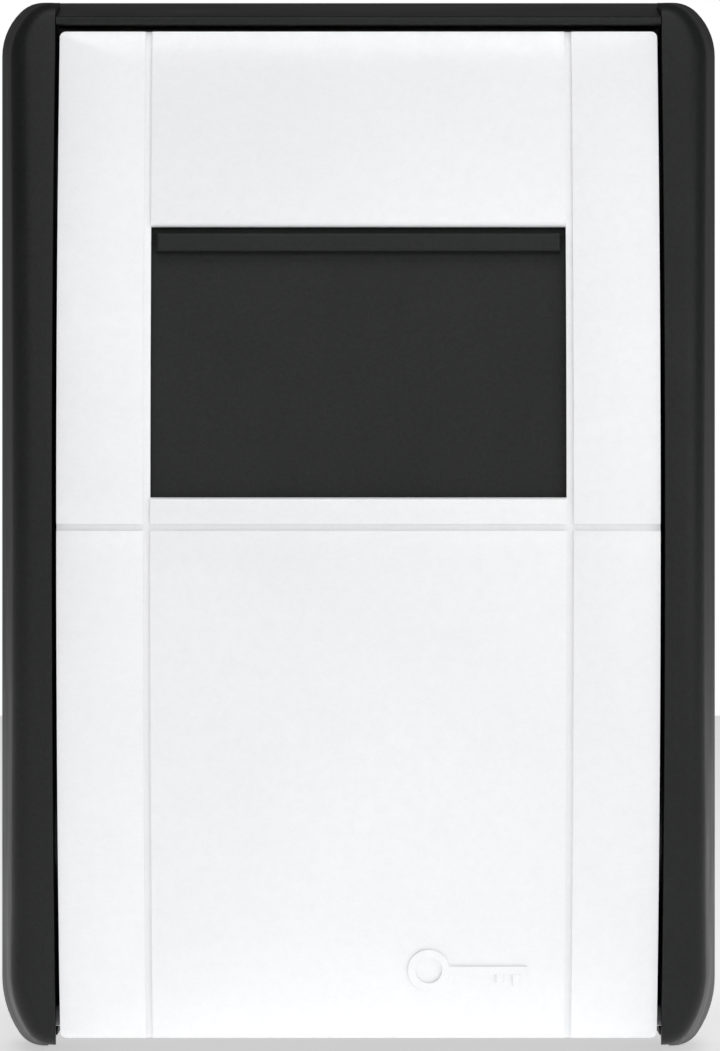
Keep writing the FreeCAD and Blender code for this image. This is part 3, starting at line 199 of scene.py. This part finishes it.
def cast_zinc():
    """Dark powder coat on die-cast zinc."""
    dark, light, fleck = (0.105, 0.106, 0.11), (0.14, 0.141, 0.146), (0.18, 0.182, 0.188)
    made = Shader("cast_zinc")
    lumps = made.noise(per_metre=1500, detail=4.0, roughness=0.55)
    patch = made.noise(per_metre=60, detail=3.0)
    base = made.blended(made.ranged(patch, low=0.0, high=1.0), dark, light)
    made.colour(made.blended(made.ranged(lumps, low=0.0, high=0.5), base, fleck))
    made.rough(made.ranged(lumps, low=0.42, high=0.6))
    made.bumps((lumps, 0.5, 0.08 * MM))
    made.set(Metallic=0.35)
    return made.material


def brushed_metal(name, dark, light, roughness, along=(1, 40, 40)):
    """Metal with fine lines along one direction."""
    made = Shader(name)
    lines = made.noise(per_metre=90, detail=4.0, vector=made.stretched(along), roughness=0.7)
    patch = made.noise(per_metre=150)
    made.colour(made.blended(made.ranged(lines, low=0.0, high=1.0), dark, light))
    made.rough(made.ranged(patch, low=roughness - 0.05, high=roughness + 0.08))
    made.bumps((lines, 0.25, 0.02 * MM))
    made.set(Metallic=1.0)
    return made.material


def white_print():
    """Thin matt print of the ring numbers."""
    dark, light = (0.78, 0.78, 0.77), (0.88, 0.88, 0.87)
    made = Shader("white_ink")
    spots = made.noise(per_metre=4000)
    made.colour(made.blended(made.ranged(spots, low=0.0, high=1.0), dark, light))
    made.rough(made.ranged(spots, low=0.45, high=0.6))
    made.bumps((spots, 0.2, 0.01 * MM))
    return made.material


def make_materials():
    """One material for each slot of the record."""
    return {
        "cast_zinc": cast_zinc(),
        "silver_paint": silver_paint(),
        "black_plastic": moulded_plastic(
            "black_plastic", dark=(0.0050, 0.0054, 0.0053), light=(0.0102, 0.0110, 0.0107),
            roughness=0.46, shine=0.25),
        "slider_plastic": moulded_plastic(
            "slider_plastic", dark=(0.0045, 0.0054, 0.0050), light=(0.0095, 0.0108, 0.0102),
            roughness=0.54, shine=0.3),
        "carrier_plastic": moulded_plastic(
            "carrier_plastic", dark=(0.09, 0.092, 0.096), light=(0.13, 0.132, 0.138), roughness=0.5),
        "ring_plastic": moulded_plastic(
            "ring_plastic", dark=(0.018, 0.018, 0.02), light=(0.03, 0.03, 0.033), roughness=0.33),
        "knob_plastic": moulded_plastic(
            "knob_plastic", dark=(0.30, 0.31, 0.33), light=(0.40, 0.41, 0.43), roughness=0.35, coat=0.3),
        "lever_plastic": moulded_plastic(
            "lever_plastic", dark=(0.42, 0.04, 0.025), light=(0.55, 0.065, 0.04), roughness=0.38, coat=0.3),
        "steel": brushed_metal(
            "zinc_plated_steel", dark=(0.52, 0.53, 0.55), light=(0.72, 0.73, 0.75), roughness=0.3),
        "spring_steel": brushed_metal(
            "spring_steel", dark=(0.36, 0.36, 0.38), light=(0.55, 0.55, 0.57), roughness=0.26),
        "dark_steel": brushed_metal(
            "blackened_steel", dark=(0.07, 0.07, 0.074), light=(0.12, 0.12, 0.125), roughness=0.38),
        "brass": brushed_metal(
            "turned_brass", dark=(0.62, 0.46, 0.2), light=(0.82, 0.64, 0.32), roughness=0.24,
            along=(40, 4, 4)),
    }


materials = make_materials()
white_ink = white_print()

for part in frame["record"]["subparts"]:
    mesh = nodes[part["node"]].data
    mesh.materials.clear()
    mesh.materials.append(materials[part["material_slot"]])


# Edges of the CAD pieces

SMOOTH_ANGLE = math.radians(28)
SHARP_ANGLE = math.radians(50)
WELD_DISTANCE = 0.001 * MM
DOOR_EDGE = 0.35 * MM
BAR_EDGE = 1.1 * MM
TOP_COVER_EDGE = 0.4 * MM


def smooth_by_angle():
    """Modifier group that shades smooth and keeps edges sharper than the smooth angle."""
    group = bpy.data.node_groups.new("smooth_by_angle", "GeometryNodeTree")
    group.interface.new_socket("Geometry", in_out="INPUT", socket_type="NodeSocketGeometry")
    group.interface.new_socket("Geometry", in_out="OUTPUT", socket_type="NodeSocketGeometry")
    start = group.nodes.new("NodeGroupInput")
    finish = group.nodes.new("NodeGroupOutput")
    faces = group.nodes.new("GeometryNodeSetShadeSmooth")
    faces.domain = "FACE"
    edges = group.nodes.new("GeometryNodeSetShadeSmooth")
    edges.domain = "EDGE"
    angle = group.nodes.new("GeometryNodeInputMeshEdgeAngle")
    gentle = group.nodes.new("FunctionNodeCompare")
    gentle.data_type = "FLOAT"
    gentle.operation = "LESS_EQUAL"
    gentle.inputs["B"].default_value = SMOOTH_ANGLE
    group.links.new(start.outputs["Geometry"], faces.inputs["Geometry"])
    group.links.new(faces.outputs["Geometry"], edges.inputs["Geometry"])
    group.links.new(angle.outputs["Unsigned Angle"], gentle.inputs["A"])
    group.links.new(gentle.outputs["Result"], edges.inputs["Shade Smooth"])
    group.links.new(edges.outputs["Geometry"], finish.inputs["Geometry"])
    return group


SMOOTHING = smooth_by_angle()


def add_bevel(piece, width, segments, angle):
    """Modifier that rounds the edges sharper than the angle."""
    bevel = piece.modifiers.new("edge", "BEVEL")
    bevel.width = width
    bevel.segments = segments
    bevel.limit_method = "ANGLE"
    bevel.angle_limit = angle
    bevel.use_clamp_overlap = True


def rounded_edges(node, width, segments):
    """Weld a piece's split vertices, round its sharp edges and shade it smooth by angle."""
    piece = nodes[node]
    weld = piece.modifiers.new("weld", "WELD")
    weld.merge_threshold = WELD_DISTANCE
    add_bevel(piece, width, segments, SHARP_ANGLE)
    shade = piece.modifiers.new("shade", "NODES")
    shade.node_group = SMOOTHING
    custom = piece.data.attributes.get("custom_normal")
    if custom:
        piece.data.attributes.remove(custom)


rounded_edges("door_front", DOOR_EDGE, segments=4)
rounded_edges("side_cover_left", BAR_EDGE, segments=6)
rounded_edges("side_cover_right", BAR_EDGE, segments=6)
rounded_edges("top_cover", TOP_COVER_EDGE, segments=4)


# Mesh helpers

TEXT_RESOLUTION = 4
SUNK_SHARE = 0.2  # part of a mark's depth that lies inside the face under it


def new_piece(name, mesh, material, body):
    """A mesh as a piece that rides on a body."""
    piece = bpy.data.objects.new(name, mesh)
    bpy.context.scene.collection.objects.link(piece)
    mesh.materials.clear()
    mesh.materials.append(material)
    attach(piece, body)
    return piece


def flat_text(words, height):
    """A text as a flat mesh in the XZ plane, centred, of a height in metres, with its back at y 0."""
    curve = bpy.data.curves.new(f"text_{words}", "FONT")
    curve.body = words
    curve.align_x = "CENTER"
    curve.size = 1.0
    curve.resolution_u = TEXT_RESOLUTION
    holder = bpy.data.objects.new(f"text_{words}", curve)
    bpy.context.scene.collection.objects.link(holder)
    bpy.context.view_layer.update()
    evaluated = holder.evaluated_get(bpy.context.evaluated_depsgraph_get())
    mesh = bpy.data.meshes.new_from_object(evaluated)
    bpy.data.objects.remove(holder)
    shape = bmesh.new()
    shape.from_mesh(mesh)
    bpy.data.meshes.remove(mesh)
    lows = [min(vertex.co[axis] for vertex in shape.verts) for axis in (0, 1)]
    highs = [max(vertex.co[axis] for vertex in shape.verts) for axis in (0, 1)]
    scale = height / (highs[1] - lows[1])
    for vertex in shape.verts:
        x = (vertex.co.x - (lows[0] + highs[0]) / 2) * scale
        z = (vertex.co.y - (lows[1] + highs[1]) / 2) * scale
        vertex.co = (x, 0.0, z)
    return shape


def sliced(shape, height, count):
    """Cut a flat shape of a height about z 0 into count level strips, so that it can follow a curve."""
    upward = Vector((0, 0, 1))
    for index in range(1, count):
        place = upward * (height * index / count - height / 2)
        geometry = shape.verts[:] + shape.edges[:] + shape.faces[:]
        bmesh.ops.bisect_plane(shape, geom=geometry, plane_co=place, plane_no=upward)


def raised(shape, depth):
    """Give a flat shape in the XZ plane a thickness towards -Y."""
    made = bmesh.ops.extrude_face_region(shape, geom=shape.faces[:])
    for item in made["geom"]:
        if isinstance(item, bmesh.types.BMVert):
            item.co.y -= depth
    bmesh.ops.recalc_face_normals(shape, faces=shape.faces[:])


# Numbers on the rings

DIGIT_HEIGHT = 3.1 * MM
DIGIT_DEPTH = 0.03 * MM
DIGIT_COUNT = 10
DIGIT_STRIPS = 10


def ring_numbers(index):
    """The ten digits printed round one ring."""
    low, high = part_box(f"number_ring_{index}")
    centre = (low + high) / 2
    radius = (high.z - low.z) / 2
    whole = bmesh.new()
    for digit in range(DIGIT_COUNT):
        shape = flat_text(str(digit), DIGIT_HEIGHT)
        sliced(shape, DIGIT_HEIGHT, DIGIT_STRIPS)
        raised(shape, DIGIT_DEPTH)
        turn = math.tau * digit / DIGIT_COUNT
        for vertex in shape.verts:
            angle = turn + vertex.co.z / radius
            reach = radius - SUNK_SHARE * DIGIT_DEPTH - vertex.co.y
            y = ring_axis.y - reach * math.cos(angle)
            z = ring_axis.z + reach * math.sin(angle)
            vertex.co = (centre.x + vertex.co.x, y, z)
        piece = bpy.data.meshes.new("digit")
        shape.to_mesh(piece)
        shape.free()
        whole.from_mesh(piece)
        bpy.data.meshes.remove(piece)
    mesh = bpy.data.meshes.new(f"ring_numbers_{index}")
    whole.to_mesh(mesh)
    whole.free()
    new_piece(f"ring_numbers_{index}", mesh, white_ink, f"ring_{index}")


for number in range(1, RING_COUNT + 1):
    ring_numbers(number)


# Key mark on the door

KEY_PLACE = (11.9 * MM, -48.9 * MM)
KEY_DEPTH = 0.36 * MM
KEY_EDGE = 0.04 * MM
KEY_SHARP_ANGLE = math.radians(40)
BOW_CENTRE = -4.2 * MM
BOW_OUTER = 2.3 * MM
BOW_INNER = 1.45 * MM
BOW_STEPS = 48
SHANK_START = -2.0 * MM
SHANK_END = 6.6 * MM
SHANK_HALF = 0.42 * MM
TOOTH_WIDTH = 0.8 * MM
TEETH = {5.0 * MM: 1.75 * MM, 3.2 * MM: 1.45 * MM}  # where each tooth starts, and how low it reaches


def add_disc_ring(shape, centre, outer, inner, steps):
    """Add a flat ring of quads in the XZ plane to a shape."""
    rims = []
    for radius in (outer, inner):
        turns = [math.tau * step / steps for step in range(steps)]
        rims.append([shape.verts.new((centre + radius * math.cos(turn), 0.0, radius * math.sin(turn)))
                     for turn in turns])
    for step in range(steps):
        after = (step + 1) % steps
        shape.faces.new((rims[0][step], rims[0][after], rims[1][after], rims[1][step]))


def add_rectangle(shape, x_span, z_span):
    """Add a flat rectangle in the XZ plane to a shape."""
    (left, right), (bottom, top) = x_span, z_span
    corners = [(left, bottom), (right, bottom), (right, top), (left, top)]
    shape.faces.new([shape.verts.new((x, 0.0, z)) for x, z in corners])


def on_arc(radius, z):
    """The y of a face of the radius about the arc's axis."""
    return arc_axis.y - math.sqrt(radius ** 2 - (z - arc_axis.z) ** 2)


def key_mark():
    """A small raised key on the door's lower right, following the door's curve."""
    door_low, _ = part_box("door_front")
    door_radius = arc_axis.y - door_low.y
    shape = bmesh.new()
    add_disc_ring(shape, BOW_CENTRE, BOW_OUTER, BOW_INNER, BOW_STEPS)
    add_rectangle(shape, (SHANK_START, SHANK_END), (-SHANK_HALF, SHANK_HALF))
    for start, reach in TEETH.items():
        add_rectangle(shape, (start, start + TOOTH_WIDTH), (-reach, -SHANK_HALF))
    raised(shape, KEY_DEPTH)
    for vertex in shape.verts:
        x = KEY_PLACE[0] + vertex.co.x
        z = KEY_PLACE[1] + vertex.co.z
        y = on_arc(door_radius, z) + vertex.co.y + SUNK_SHARE * KEY_DEPTH
        vertex.co = (x, y, z)
    mesh = bpy.data.meshes.new("key_mark")
    shape.to_mesh(mesh)
    shape.free()
    piece = new_piece("key_mark", mesh, materials["silver_paint"], "door")
    add_bevel(piece, KEY_EDGE, 2, KEY_SHARP_ANGLE)


key_mark()


# Light, floor and camera

AIM = Vector((0, -0.03, 0))
LIGHTS = {
    "key_right": {"place": (0.85, -1.0, 0.25), "size": (1.0, 0.8), "power": 4.3},
    "front": {"place": (0.0, -1.35, 0.42), "size": (1.0, 0.7), "power": 3.0},
    "top_front": {"place": (0.0, -0.60, 1.0), "size": (1.0, 0.6), "power": 5.1},
}


def area_light(name, place, size, power):
    """A rectangular soft light aimed at the middle of the object."""
    light = bpy.data.lights.new(name, "AREA")
    light.shape = "RECTANGLE"
    light.size, light.size_y = size
    light.energy = power
    holder = bpy.data.objects.new(name, light)
    holder.location = place
    holder.rotation_euler = (AIM - Vector(place)).to_track_quat("-Z", "Y").to_euler()
    bpy.context.scene.collection.objects.link(holder)


SEEN_STRENGTH = 1.0
ROOM_STRENGTH = 0.12
WHITE = (1.0, 1.0, 1.0, 1.0)


def make_world():
    """White backdrop for the camera, a dimmer room for every other ray."""
    world = bpy.data.worlds.new("studio")
    world.use_nodes = True
    tree = world.node_tree
    background = tree.nodes["Background"]
    background.inputs["Color"].default_value = WHITE
    path = tree.nodes.new("ShaderNodeLightPath")
    strength = tree.nodes.new("ShaderNodeMapRange")
    strength.inputs["To Min"].default_value = ROOM_STRENGTH
    strength.inputs["To Max"].default_value = SEEN_STRENGTH
    tree.links.new(path.outputs["Is Camera Ray"], strength.inputs["Value"])
    tree.links.new(strength.outputs["Result"], background.inputs["Strength"])
    bpy.context.scene.world = world


FLOOR_HALF = 1.2
FLOOR_GAP = 0.05 * MM
FLOOR_GLOW = 0.52


def make_floor():
    """Pale ground under the box, with a little light of its own."""
    level = cad_low.z - FLOOR_GAP
    signs = [(-1, -1), (1, -1), (1, 1), (-1, 1)]
    corners = [(x * FLOOR_HALF, y * FLOOR_HALF, level) for x, y in signs]
    mesh = bpy.data.meshes.new("floor")
    mesh.from_pydata(corners, [], [(0, 1, 2, 3)])
    floor = bpy.data.objects.new("floor", mesh)
    bpy.context.scene.collection.objects.link(floor)
    dark, light = (0.93, 0.93, 0.93), (0.95, 0.95, 0.95)
    paper = Shader("floor_paper")
    fibres = paper.noise(per_metre=300, detail=3.0)
    paper.colour(paper.blended(paper.ranged(fibres, low=0.0, high=1.0), dark, light))
    paper.set(Roughness=0.8, Emission_Color=WHITE, Emission_Strength=FLOOR_GLOW)
    mesh.materials.append(paper.material)


VIEW_PLACE = (0.17 * MM, -0.700, -0.16 * MM)
LENS = 206.5804  # millimetres, on the sensor's width
SENSOR = 36.0


def make_camera():
    """Straight in front, at the distance that gives the object's perspective."""
    camera = bpy.data.cameras.new("camera")
    camera.sensor_width = SENSOR
    camera.lens = LENS
    camera.clip_start = 0.05
    camera.clip_end = 20.0
    holder = bpy.data.objects.new("camera", camera)
    holder.location = VIEW_PLACE
    holder.rotation_euler = (math.radians(90), 0.0, 0.0)
    bpy.context.scene.collection.objects.link(holder)
    bpy.context.scene.camera = holder


make_world()
for light_name, settings in LIGHTS.items():
    area_light(light_name, **settings)
make_floor()
make_camera()
bpy.context.scene.view_settings.view_transform = "Standard"
